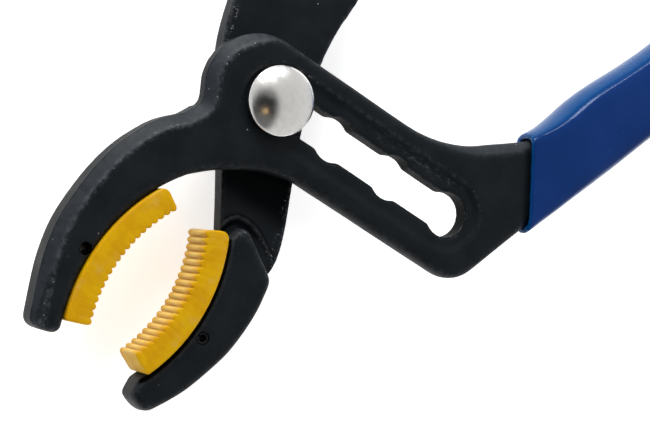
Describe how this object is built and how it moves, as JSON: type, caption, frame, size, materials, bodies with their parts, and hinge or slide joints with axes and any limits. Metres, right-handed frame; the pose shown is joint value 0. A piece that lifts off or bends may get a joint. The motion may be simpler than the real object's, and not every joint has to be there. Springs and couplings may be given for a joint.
{
  "type": "soft-jaw slip-joint pliers",
  "caption": "Adjustable pliers with curved, toothed plastic jaw inserts, a pivot bolt that steps along a slot in the front lever, and dipped plastic grips.",
  "frame": {"origin": "on the pivot axis, in the plane of the bolt's flat end, with the pivot in the slot's first seat", "axes": "+X along the slot, in the direction that widens the jaws; +Y towards the handle ends; +Z along the pivot axis, towards the bolt's head"},
  "size_m": [0.1495, 0.2513, 0.0246],
  "materials": {
    "black_steel": "forged steel with a matt black oxide finish, worn light on its rounded edges",
    "blue_vinyl": "dipped vinyl, smooth and glossy",
    "yellow_nylon": "moulded nylon, satin and slightly translucent, mottled by use",
    "pin_steel": "rolled spring pin, oiled black",
    "nickel_plate": "bright nickel plate with fine satin marks"
  },
  "bodies": {
    "front_lever": {"front_lever": "black_steel", "front_grip": "blue_vinyl", "front_jaw_insert": "yellow_nylon", "front_insert_pin": "pin_steel"},
    "pivot_carriage": {"spring_washer": "nickel_plate"},
    "rear_lever": {"rear_lever": "black_steel", "rear_grip": "blue_vinyl", "rear_jaw_insert": "yellow_nylon", "rear_insert_pin": "pin_steel", "pivot_bolt": "nickel_plate", "pivot_nut": "nickel_plate", "lock_washer": "nickel_plate"}
  },
  "joints": [
    {"name": "pivot_slide", "type": "slide", "parent": "front_lever", "child": "pivot_carriage", "axis": [1, 0, 0], "range_m": [0, 0.0504]},
    {"name": "pivot_hinge", "type": "hinge", "parent": "pivot_carriage", "child": "rear_lever", "pos_m": [0, 0, 0.01315], "axis": [0, 0, 1], "range_deg": [-5, 38]}
  ]
}
